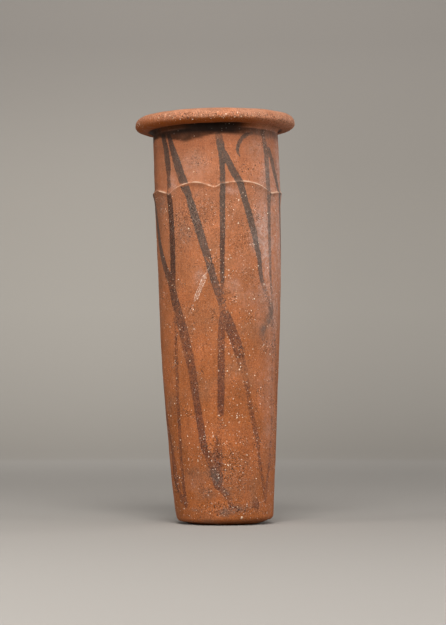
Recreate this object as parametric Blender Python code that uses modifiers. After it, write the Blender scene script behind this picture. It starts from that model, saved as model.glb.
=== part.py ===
"""Wavy-handled jar: a tall painted pottery cylinder jar with a flat everted lip.

The jar is one piece of fired clay. Its handles have shrunk to a low scalloped ridge that runs
round the body under the lip. The frame stands on the middle of the underside, +Z is up, the
viewer's side is -Y, and azimuths are measured from that side towards +X.
"""

import math

import bpy

# Body and foot, in metres
HEIGHT = 0.288
BODY_RADIUS = 0.0446
WIDEST_BELOW_TOP = 0.042
FOOT_RADIUS = 0.0339
FOOT_EDGE = 0.0038
RESTING_RADIUS = 0.022
UNDERSIDE_RISE = 0.0022

# Hollow
WALL = 0.0068
FLOOR = 0.01
HOLLOW_CORNER = 0.014
MOUTH_EDGE = 0.0032

# Lip
LIP_OVERHANG = 0.0125
LIP_ABOVE_EDGE = 0.0056
LIP_BELOW_EDGE = 0.0042
LIP_TOP_ROUND = 0.0055
LIP_UNDER_ROUND = 0.0078
NECK_FILLET = 0.0022

# Scalloped ridge: its lowest cusp's depth, how proud it stands, and how far it reaches up and down
RIDGE_BELOW_TOP = 0.0575
RIDGE_PROUD = 0.0012
RIDGE_LEDGE = 0.001
RIDGE_FADE = 0.011

# The scallops from the first cusp on: their shares of the turn, and how far the cusp that each
# starts at and its crown rise above the lowest cusp
FIRST_CUSP = math.radians(-48)
SCALLOP_WIDTHS = (45, 58, 52, 50, 56, 51, 48)
CUSP_RISES = (0, 0.0032, 0, 0.0008, 0.0015, 0.0004, 0.001)
CROWN_RISES = (0.0071, 0.0073, 0.002, 0.005, 0.0062, 0.0048, 0.0046)

# The jar leans to its left, and its ridge, lip and foot's edge tip with it
LEAN = 0.0075
SWAY = 0.0007
TIP = math.radians(1.3)

# How square a rounded corner is: 2 is a circle, and more is squarer
CIRCLE = 2
LIP_TOP_POWER = 2.4
LIP_UNDER_POWER = 2.2
UNDERSIDE_POWER = 1.5

# Columns in each scallop, and rows along each stretch of the outline
SCALLOP_COLUMNS = 12
BODY_ROWS = 12
HOLLOW_ROWS = 9
NECK_ROWS = 3
ROUND_ROWS = 4
SMALL_ROUND_ROWS = 3
UNDERSIDE_ROWS = 3

# Fired red clay, as it shows where the surface is clean
CLAY_COLOUR = (0.39, 0.145, 0.062, 1.0)
CLAY_ROUGHNESS = 0.72
SHARP_ANGLE = math.radians(40)

lip_edge_height = HEIGHT - LIP_ABOVE_EDGE
neck_height = lip_edge_height - LIP_BELOW_EDGE
neck_foot_height = neck_height - NECK_FILLET
mouth_height = HEIGHT - MOUTH_EDGE
widest_height = HEIGHT - WIDEST_BELOW_TOP
ridge_height = HEIGHT - RIDGE_BELOW_TOP
foot_edge_height = UNDERSIDE_RISE + FOOT_EDGE


def share_between(value, zero_at, one_at):
    return max(0, min(1, (value - zero_at) / (one_at - zero_at)))


def steps_between(start, end, count):
    """count values from start towards end, without the end itself."""
    return [start + (end - start) * step / count for step in range(count)]


def rounded(start, end, level_first, power=CIRCLE, rows=ROUND_ROWS):
    """(radius, height) points on a rounded corner that leaves its start level, or else upright."""
    points = []
    for turn in steps_between(0, math.pi / 2, rows) + [math.pi / 2]:
        late = 1 - math.cos(turn) ** (2 / power)
        early = math.sin(turn) ** (2 / power)
        across, along = (early, late) if level_first else (late, early)
        radius = start[0] + (end[0] - start[0]) * across
        height = start[1] + (end[1] - start[1]) * along
        points.append((radius, height))
    return points


def body_radius(height):
    """The body swells in one fair curve from the foot to its widest height."""
    below = 1 - height / widest_height
    return BODY_RADIUS - (BODY_RADIUS - FOOT_RADIUS) * below * below


def hollow_radius(height):
    return body_radius(height) - WALL


def underside_height(radius):
    """The underside is flat in the middle and curves up a little towards the foot's edge."""
    edge = body_radius(foot_edge_height) - FOOT_EDGE
    return UNDERSIDE_RISE * share_between(radius, RESTING_RADIUS, edge) ** UNDERSIDE_POWER


def hollow_outline():
    """From the middle of the hollow's floor, round its corner and up the wall."""
    wall_foot = FLOOR + HOLLOW_CORNER
    wall = hollow_radius(wall_foot)
    corner = wall - HOLLOW_CORNER
    outline = [(0, FLOOR), (corner / 2, FLOOR)]
    outline += rounded((corner, FLOOR), (wall, wall_foot), level_first=True)
    outline += [(hollow_radius(z), z) for z in steps_between(wall_foot, mouth_height, HOLLOW_ROWS)[1:]]
    return outline


def lip_outline():
    """Over the mouth's edge, across the lip and under it, to the fillet at the neck."""
    mouth = hollow_radius(mouth_height)
    neck = body_radius(neck_height)
    edge = neck + LIP_OVERHANG
    under = edge - min(LIP_UNDER_ROUND, LIP_OVERHANG - NECK_FILLET)
    fillet_start = (neck + NECK_FILLET, neck_height)
    outline = rounded((mouth, mouth_height), (mouth + MOUTH_EDGE, HEIGHT), False, rows=SMALL_ROUND_ROWS)
    outline += rounded((edge - LIP_TOP_ROUND, HEIGHT), (edge, lip_edge_height), True, LIP_TOP_POWER)
    outline += rounded((edge, lip_edge_height), (under, neck_height), False, LIP_UNDER_POWER)[1:]
    outline += rounded(fillet_start, (neck, neck_foot_height), True, rows=SMALL_ROUND_ROWS)
    return outline


def ridge_section():
    """(distance below the crest, proudness) down over the ridge: a ledge, the crest and a fade."""
    return [
        (-4 * RIDGE_LEDGE, 0),
        (-RIDGE_LEDGE, 0.25 * RIDGE_PROUD),
        (0, RIDGE_PROUD),
        (0.2 * RIDGE_FADE, 0.75 * RIDGE_PROUD),
        (0.5 * RIDGE_FADE, 0.3 * RIDGE_PROUD),
        (RIDGE_FADE, 0),
    ]


def body_outline():
    """Down the outer side from the neck, over the ridge to the foot and across the underside."""
    section = [(ridge_height - down, proud) for down, proud in ridge_section()]
    ridge_top, ridge_foot = section[0][0], section[-1][0]
    foot = body_radius(foot_edge_height)
    flat = foot - FOOT_EDGE
    outline = [(body_radius(z), z) for z in steps_between(neck_foot_height, ridge_top, NECK_ROWS)[1:]]
    outline += [(body_radius(z) + proud, z) for z, proud in section]
    outline += [(body_radius(z), z) for z in steps_between(ridge_foot, foot_edge_height, BODY_ROWS)[1:]]
    outline += rounded((foot, foot_edge_height), (flat, UNDERSIDE_RISE), level_first=False)
    outline += [(r, underside_height(r)) for r in steps_between(flat, RESTING_RADIUS, UNDERSIDE_ROWS)[1:]]
    outline += [(RESTING_RADIUS, 0), (RESTING_RADIUS / 2, 0), (0, 0)]
    return outline


def turned(outline, steps):
    """The mesh that an outline at +X sweeps in one full turn about Z."""
    profile_mesh = bpy.data.meshes.new("jar_profile")
    edges = [(index, index + 1) for index in range(len(outline) - 1)]
    profile_mesh.from_pydata([(radius, 0, height) for radius, height in outline], edges, [])
    profile = bpy.data.objects.new("jar_profile", profile_mesh)
    bpy.context.scene.collection.objects.link(profile)
    screw = profile.modifiers.new("Turn", "SCREW")
    screw.axis = "Z"
    screw.steps = steps
    screw.render_steps = steps
    screw.use_merge_vertices = True
    screw.merge_threshold = 0.00001
    graph = bpy.context.evaluated_depsgraph_get()
    mesh = bpy.data.meshes.new_from_object(profile.evaluated_get(graph))
    bpy.data.objects.remove(profile)
    bpy.data.meshes.remove(profile_mesh)
    return mesh


def scallop_at(share):
    """(azimuth, the crest's rise above the lowest cusp) at a share of the turn."""
    count = len(SCALLOP_WIDTHS)
    index = min(int(share * count), count - 1)
    along = share * count - index
    passed = sum(SCALLOP_WIDTHS[:index]) + SCALLOP_WIDTHS[index] * along
    azimuth = FIRST_CUSP + math.tau * passed / sum(SCALLOP_WIDTHS)
    start = CUSP_RISES[index]
    end = CUSP_RISES[(index + 1) % count]
    swell = CROWN_RISES[index] - (start + end) / 2
    return azimuth, start + (end - start) * along + swell * (1 - (2 * along - 1) ** 2)


def follow_scallops(height):
    """How much of the scallops' rise a height takes: all at the ridge, none at lip and foot."""
    if height < ridge_height:
        return share_between(height, ridge_height - 3 * RIDGE_FADE, ridge_height)
    return share_between(height, neck_foot_height, ridge_height)


def shaped_by_hand(point):
    """Where a point of the turned form lies on the real jar: scalloped, tipped and leaning."""
    radius = math.hypot(point.x, point.y)
    share = (math.atan2(point.y, point.x) / math.tau) % 1
    azimuth, rise = scallop_at(share)
    x = radius * math.sin(azimuth)
    y = -radius * math.cos(azimuth)
    z = point.z + rise * follow_scallops(point.z)
    up = z / HEIGHT
    off_the_ground = share_between(radius, RESTING_RADIUS, FOOT_RADIUS) if z < UNDERSIDE_RISE else 1
    z += TIP * x * off_the_ground
    x -= LEAN * up + SWAY * math.sin(math.tau * up)
    return x, y, z


def clay_material():
    material = bpy.data.materials.new("fired_clay")
    material.use_nodes = True
    shader = material.node_tree.nodes["Principled BSDF"]
    shader.inputs["Base Color"].default_value = CLAY_COLOUR
    shader.inputs["Roughness"].default_value = CLAY_ROUGHNESS
    shader.inputs["Metallic"].default_value = 0
    return material


def make_jar(collection):
    outline = hollow_outline() + lip_outline() + body_outline()
    mesh = turned(outline, SCALLOP_COLUMNS * len(SCALLOP_WIDTHS))
    mesh.name = "jar"
    for vertex in mesh.vertices:
        vertex.co = shaped_by_hand(vertex.co)
    mesh.materials.append(clay_material())
    mesh.shade_smooth()
    mesh.set_sharp_from_angle(angle=SHARP_ANGLE)
    jar = bpy.data.objects.new("jar", mesh)
    collection.objects.link(jar)
    return jar


def main():
    for old in list(bpy.data.objects):
        bpy.data.objects.remove(old)
    collection = bpy.data.collections.new("wavy_handled_jar")
    bpy.context.scene.collection.children.link(collection)
    make_jar(collection)


main()
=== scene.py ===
"""Looks of the wavy-handled jar: its hand-shaped surface, the worn net of painted lines, the lime
grits in its clay, and the studio round it.

Lengths are in millimetres and azimuths in degrees, unless a name or comment says otherwise. An
azimuth is measured round the jar's leaning middle from the viewer's side, -Y, towards +X.
"""

import math
import random
from itertools import combinations

import bpy
import numpy as np
from mathutils import Matrix, Vector, noise
from mathutils.bvhtree import BVHTree


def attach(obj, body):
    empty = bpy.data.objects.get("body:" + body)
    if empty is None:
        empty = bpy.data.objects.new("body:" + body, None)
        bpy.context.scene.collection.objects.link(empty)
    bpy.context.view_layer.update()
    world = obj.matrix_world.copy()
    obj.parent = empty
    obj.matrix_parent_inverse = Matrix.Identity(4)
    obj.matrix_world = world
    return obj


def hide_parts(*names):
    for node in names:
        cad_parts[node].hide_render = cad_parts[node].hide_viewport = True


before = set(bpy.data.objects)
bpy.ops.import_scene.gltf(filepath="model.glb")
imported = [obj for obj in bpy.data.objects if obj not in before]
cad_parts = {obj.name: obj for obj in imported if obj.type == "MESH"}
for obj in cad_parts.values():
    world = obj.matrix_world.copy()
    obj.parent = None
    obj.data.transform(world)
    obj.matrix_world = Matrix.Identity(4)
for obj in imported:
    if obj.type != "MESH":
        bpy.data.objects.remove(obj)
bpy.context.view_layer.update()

MM = 0.001

# The jar's form, with the same sizes as its solid
HEIGHT = 288.0
BODY_RADIUS = 44.6
WIDEST_BELOW_TOP = 42.0
FOOT_RADIUS = 33.9
FOOT_EDGE = 3.8
RESTING_RADIUS = 22.0
UNDERSIDE_RISE = 2.2
WALL = 6.8
FLOOR = 10.0
HOLLOW_CORNER = 14.0
MOUTH_EDGE = 3.2
LIP_OVERHANG = 12.5
LIP_ABOVE_EDGE = 5.6
LIP_BELOW_EDGE = 4.2
LIP_TOP_ROUND = 5.5
LIP_UNDER_ROUND = 7.8
NECK_FILLET = 2.2
RIDGE_BELOW_TOP = 57.5
RIDGE_PROUD = 1.2
RIDGE_LEDGE = 1.0
RIDGE_FADE = 11.0
FIRST_CUSP = -48.0
SCALLOP_WIDTHS = (45, 58, 52, 50, 56, 51, 48)
CUSP_RISES = (0, 3.2, 0, 0.8, 1.5, 0.4, 1.0)
CROWN_RISES = (7.1, 7.3, 2.0, 5.0, 6.2, 4.8, 4.6)
LEAN = 7.5
SWAY = 0.7
TIP = math.radians(1.3)
CIRCLE = 2
LIP_TOP_POWER = 2.4
LIP_UNDER_POWER = 2.2
UNDERSIDE_POWER = 1.5
RIDGE_FADE_POWER = 1.7

lip_edge_height = HEIGHT - LIP_ABOVE_EDGE
neck_height = lip_edge_height - LIP_BELOW_EDGE
neck_foot_height = neck_height - NECK_FILLET
mouth_height = HEIGHT - MOUTH_EDGE
widest_height = HEIGHT - WIDEST_BELOW_TOP
ridge_height = HEIGHT - RIDGE_BELOW_TOP
foot_edge_height = UNDERSIDE_RISE + FOOT_EDGE

# Columns in each scallop, and rows along each stretch of the outline
SCALLOP_COLUMNS = 36
HOLLOW_FLOOR_ROWS = 6
HOLLOW_ROWS = 36
CORNER_ROWS = 8
MOUTH_ROWS = 6
LIP_ROWS = 12
LIP_FLAT_ROWS = 3
NECK_ROWS = 30
RIDGE_ROWS_ABOVE = 9
RIDGE_ROWS_BELOW = 14
BODY_ROWS = 168
UNDERSIDE_ROWS = 8
RESTING_ROWS = 4
# The close rows start this many ledges above the crest, and they crowd towards it by this power
CLOSE_ROWS_ABOVE = 5
CLOSE_ROWS_POWER = 1.6


def share_between(value, zero_at, one_at):
    return np.clip((value - zero_at) / (one_at - zero_at), 0, 1)


def steps_between(start, end, count):
    """count values from start towards end, without the end itself."""
    return [start + (end - start) * step / count for step in range(count)]


def rounded(start, end, level_first, power=CIRCLE, rows=CORNER_ROWS):
    """(radius, height) points on a rounded corner that leaves its start level, or else upright."""
    points = []
    for turn in steps_between(0, math.pi / 2, rows) + [math.pi / 2]:
        late = 1 - max(0, math.cos(turn)) ** (2 / power)
        early = math.sin(turn) ** (2 / power)
        across, along = (early, late) if level_first else (late, early)
        radius = start[0] + (end[0] - start[0]) * across
        points.append((radius, start[1] + (end[1] - start[1]) * along))
    return points


def body_radius(height):
    below = 1 - height / widest_height
    return BODY_RADIUS - (BODY_RADIUS - FOOT_RADIUS) * below * below


def hollow_radius(height):
    return body_radius(height) - WALL


def underside_height(radius):
    edge = body_radius(foot_edge_height) - FOOT_EDGE
    return UNDERSIDE_RISE * share_between(radius, RESTING_RADIUS, edge) ** UNDERSIDE_POWER


def hollow_outline():
    """From the middle of the hollow's floor, round its corner and up the wall."""
    wall_foot = FLOOR + HOLLOW_CORNER
    wall = hollow_radius(wall_foot)
    corner = wall - HOLLOW_CORNER
    outline = [(radius, FLOOR) for radius in steps_between(0, corner, HOLLOW_FLOOR_ROWS)]
    outline += rounded((corner, FLOOR), (wall, wall_foot), level_first=True)
    outline += [(hollow_radius(z), z)
                for z in steps_between(wall_foot, mouth_height, HOLLOW_ROWS)[1:]]
    return outline


def lip_outline():
    """Over the mouth's edge, across the lip and under it, to the fillet at the neck."""
    mouth = hollow_radius(mouth_height)
    neck = body_radius(neck_height)
    edge = neck + LIP_OVERHANG
    top_end = edge - LIP_TOP_ROUND
    under = edge - LIP_UNDER_ROUND
    fillet = neck + NECK_FILLET
    outline = rounded((mouth, mouth_height), (mouth + MOUTH_EDGE, HEIGHT), False, rows=MOUTH_ROWS)
    outline += [(r, HEIGHT) for r in steps_between(mouth + MOUTH_EDGE, top_end, LIP_FLAT_ROWS)[1:]]
    outline += rounded((top_end, HEIGHT), (edge, lip_edge_height), True, LIP_TOP_POWER, LIP_ROWS)
    outer, inner = (edge, lip_edge_height), (under, neck_height)
    outline += rounded(outer, inner, False, LIP_UNDER_POWER, LIP_ROWS)[1:]
    outline += [(r, neck_height) for r in steps_between(under, fillet, LIP_FLAT_ROWS)[1:]]
    outline += rounded((fillet, neck_height), (neck, neck_foot_height), True, rows=MOUTH_ROWS)
    return outline


def body_outline():
    """Down the outer side from the neck, over the ridge to the foot and across the underside."""
    ledge_top = ridge_height + CLOSE_ROWS_ABOVE * RIDGE_LEDGE
    fade_foot = ridge_height - RIDGE_FADE
    foot = body_radius(foot_edge_height)
    flat = foot - FOOT_EDGE
    heights = steps_between(neck_foot_height, ledge_top, NECK_ROWS)[1:]
    heights += [ridge_height + (ledge_top - ridge_height) * share ** CLOSE_ROWS_POWER
                for share in steps_between(1, 0, RIDGE_ROWS_ABOVE)]
    heights += [ridge_height - RIDGE_FADE * share ** CLOSE_ROWS_POWER
                for share in steps_between(0, 1, RIDGE_ROWS_BELOW)]
    heights += steps_between(fade_foot, foot_edge_height, BODY_ROWS)
    outline = [(body_radius(z), z) for z in heights]
    outline += rounded((foot, foot_edge_height), (flat, UNDERSIDE_RISE), level_first=False)
    outline += [(r, underside_height(r))
                for r in steps_between(flat, RESTING_RADIUS, UNDERSIDE_ROWS)[1:]]
    outline += [(r, 0) for r in steps_between(RESTING_RADIUS, 0, RESTING_ROWS)] + [(0, 0)]
    return outline


def scallop_at(share):
    """(azimuth, the crest's rise above the lowest cusp) at a share of the turn."""
    count = len(SCALLOP_WIDTHS)
    index = min(int(share * count), count - 1)
    along = share * count - index
    passed = sum(SCALLOP_WIDTHS[:index]) + SCALLOP_WIDTHS[index] * along
    azimuth = FIRST_CUSP + 360 * passed / sum(SCALLOP_WIDTHS)
    start = CUSP_RISES[index]
    end = CUSP_RISES[(index + 1) % count]
    swell = CROWN_RISES[index] - (start + end) / 2
    return azimuth, start + (end - start) * along + swell * (1 - (2 * along - 1) ** 2)


def follow_scallops(height):
    """How much of the scallops' rise a height takes: all at the ridge, none at lip and foot."""
    below = share_between(height, ridge_height - 3 * RIDGE_FADE, ridge_height)
    above = share_between(height, neck_foot_height, ridge_height)
    return np.where(height < ridge_height, below, above)


def degrees_apart(azimuth, other):
    """How far azimuth is round from other, from -180 to 180."""
    return (azimuth - other + 180) % 360 - 180


# Relief that is too fine for the solid: (size of the lumps, their size along Z, height) for each
# kind of place, with long scrapes last on the body
BODY_LUMPS = ((38, 38, 0.36), (14, 14, 0.17), (5, 5, 0.07), (9, 110, 0.13))
LIP_LUMPS = ((24, 24, 0.45), (9, 9, 0.25), (3.5, 3.5, 0.12))
HOLLOW_LUMPS = ((42, 21, 0.5), (15.4, 7.7, 0.3))
CREST_LUMPS = ((7, 7, 0.3), (3, 3, 0.12))
CREST_LUMPS_REACH = 2.5
# The crest's proudness is this share of the ridge's, give or take, in lumps of a size
CREST_SHARE = 0.96
CREST_UNEVEN = 0.22
CREST_UNEVEN_SIZE = 17
# This share of the crest is a sharp lip that fades within so many millimetres
CREST_SHARP = 0.3
CREST_LIP = 1.3
CREST_WANDER = 0.5
CREST_WANDER_SIZE = 11
# The body's relief starts just over the neck's foot, is whole this far under it, and only goes
# inwards near the foot's edge
RELIEF_STARTS = 1
RELIEF_WHOLE = 12
RELIEF_LOW = 4
# Spots fall off by this power, and what lies beyond the reach of a field has this distance
SPOT_POWER = 1.3
FAR_OFF = 20

# Shallow places on the outer side: (azimuth, height, half width, half height, depth)
HOLLOWS = (
    (-86, 162, 18, 24, 0.5), (-41, 239, 4, 5, 0.25), (12, 224, 5, 3, 0.35), (30, 98, 12, 16, 0.3),
    (-20, 60, 16, 22, 0.3), (140, 150, 20, 26, 0.5), (-150, 90, 18, 24, 0.5),
)

# Pits and chips on the outer side: (azimuth, height, radius, depth)
PITS = (
    (-30, 6, 1.2, 0.7), (-9, 7.5, 1.3, 0.8), (54, 7.5, 1.2, 0.7), (-19, 107, 1.0, 0.8),
    (1, 38, 1.2, 0.8), (-30, 38.5, 0.9, 0.6), (34, 233, 1.0, 0.4), (26, 250, 0.9, 0.4),
    (120, 60, 1.4, 0.8), (170, 200, 1.2, 0.7), (-120, 130, 1.3, 0.8), (-160, 30, 1.6, 0.9),
)


def noise_at(points, size, size_along):
    """Smooth noise from -1 to 1 with lumps of a size, and of size_along along Z."""
    scale = np.array((1 / size, 1 / size, 1 / size_along))
    offset = np.array((size * 3.1, size * 1.7, size * 0.9))
    return np.array([noise.noise(point) for point in (points * scale + offset).tolist()])


def lumps_at(points, lumps, shape=np.positive):
    """How far lumps of several sizes, added up, stand out at each point."""
    return sum(height * shape(noise_at(points, *sizes)) for *sizes, height in lumps)


def spot(azimuths, heights, azimuth, height, half_width, half_height, tilt=0):
    """1 in the middle of a soft oval spot on the outer side, falling to 0 outside it."""
    across = np.radians(degrees_apart(azimuths, azimuth)) * body_radius(heights)
    up = heights - height
    cosine, sine = math.cos(math.radians(tilt)), math.sin(math.radians(tilt))
    along = (up * cosine + across * sine) / half_height
    aside = (across * cosine - up * sine) / half_width
    return np.exp(-(along * along + aside * aside) ** SPOT_POWER)


class Surface:
    """The jar's surface as a grid of points, row by row along its outline and round the jar."""

    def __init__(self):
        hollow, lip, body = hollow_outline(), lip_outline(), body_outline()
        outline = np.array(hollow + lip + body)
        self.columns = SCALLOP_COLUMNS * len(SCALLOP_WIDTHS)
        self.rows = len(outline)
        scallops = [scallop_at(column / self.columns) for column in range(self.columns)]
        azimuths, rises = np.array(scallops).T
        along = np.gradient(outline, axis=0)
        along /= np.maximum(np.linalg.norm(along, axis=1, keepdims=True), 1e-6)
        row = self.grid(np.arange(self.rows))
        self.in_hollow = row < len(hollow)
        self.outside = row >= len(hollow + lip)
        self.on_lip = ~self.in_hollow & ~self.outside
        self.azimuth = np.tile(azimuths, self.rows)
        self.radius = self.grid(outline[:, 0])
        self.nominal = self.grid(outline[:, 1])
        self.out = np.stack((self.grid(along[:, 1]) * -1, self.grid(along[:, 0])), axis=1)
        self.rise = np.tile(rises, self.rows)
        self.points = self.shaped()

    def grid(self, per_row):
        return np.repeat(per_row, self.columns)

    def place(self, radius, nominal):
        """Where points of the turned form lie on the real jar: scalloped, tipped and leaning."""
        angle = np.radians(self.azimuth)
        x = radius * np.sin(angle)
        y = -radius * np.cos(angle)
        z = nominal + self.rise * follow_scallops(nominal)
        up = z / HEIGHT
        across_foot = share_between(radius, RESTING_RADIUS, FOOT_RADIUS)
        z = z + TIP * x * np.where(z < UNDERSIDE_RISE, across_foot, 1)
        x = x - LEAN * up - SWAY * np.sin(math.tau * up)
        return np.stack((x, y, z), axis=1)

    def ridge(self, plain):
        """How far the ridge stands out at each point, with its crest wandering and uneven."""
        ring = plain.copy()
        ring[:, 2] = 0
        wander = CREST_WANDER * noise_at(ring, CREST_WANDER_SIZE, CREST_WANDER_SIZE)
        below = ridge_height - self.nominal + wander
        self.below_crest = below
        uneven = CREST_UNEVEN * noise_at(ring, CREST_UNEVEN_SIZE, CREST_UNEVEN_SIZE)
        crest = RIDGE_PROUD * (CREST_SHARE + uneven)
        fade = np.clip(1 - below / RIDGE_FADE, 0, 1) ** RIDGE_FADE_POWER
        under = CREST_SHARP * np.exp(-np.maximum(below, 0) / CREST_LIP) + (1 - CREST_SHARP) * fade
        return crest * np.where(below < 0, np.exp(np.minimum(below, 0) / RIDGE_LEDGE), under)

    def relief(self, plain):
        """How far each point stands out from the plain form."""
        near_crest = np.exp(-((self.nominal - ridge_height) / CREST_LUMPS_REACH) ** 2)
        body = self.ridge(plain) + lumps_at(plain, BODY_LUMPS)
        body += near_crest * lumps_at(plain, CREST_LUMPS)
        for *oval, depth in HOLLOWS:
            body -= depth * spot(self.azimuth, plain[:, 2], *oval)
        for *middle, radius, depth in PITS:
            body -= depth * spot(self.azimuth, plain[:, 2], *middle, radius, radius)
        lip = -lumps_at(plain, LIP_LUMPS, np.abs)
        hollow = lumps_at(plain, HOLLOW_LUMPS)
        # The body's relief fades out at the neck, and at the foot it only goes inwards
        starts, whole = neck_foot_height + RELIEF_STARTS, neck_foot_height - RELIEF_WHOLE
        body *= share_between(self.nominal, starts, whole)
        low = share_between(self.nominal, foot_edge_height + RELIEF_LOW, foot_edge_height)
        body = body * (1 - low) - low * np.abs(body)
        body *= share_between(self.nominal, 0, UNDERSIDE_RISE)
        under = np.where(self.radius < FOOT_RADIUS - FOOT_EDGE, share_between(self.nominal, 0, 1), 1)
        return np.where(self.outside, body * under, np.where(self.on_lip, lip, hollow))

    def shaped(self):
        plain = self.place(self.radius, self.nominal)
        stands = self.relief(plain)
        radius = self.radius + stands * self.out[:, 0]
        lifted = self.nominal + stands * self.out[:, 1]
        points = self.place(np.maximum(radius, 0), self.nominal)
        points[:, 2] += lifted - self.nominal
        return points

    def poles_once(self, per_point):
        """The same values with one point at each pole instead of a ring of them."""
        last = (self.rows - 1) * self.columns
        return np.concatenate((per_point[:1], per_point[self.columns:last + 1]))

    def faces(self):
        """Quads facing outwards, and a fan of triangles round each pole."""
        column = np.arange(self.columns)
        after = (column + 1) % self.columns
        faces = []
        for row in range(self.rows - 3):
            here, below = 1 + row * self.columns, 1 + (row + 1) * self.columns
            quads = np.stack((here + column, below + column, below + after, here + after), axis=1)
            faces += quads.tolist()
        foot = 1 + (self.rows - 2) * self.columns
        rim = foot - self.columns
        for number, beside in zip(column.tolist(), after.tolist()):
            faces += [[0, 1 + number, 1 + beside], [foot, rim + beside, rim + number]]
        return faces


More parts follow.
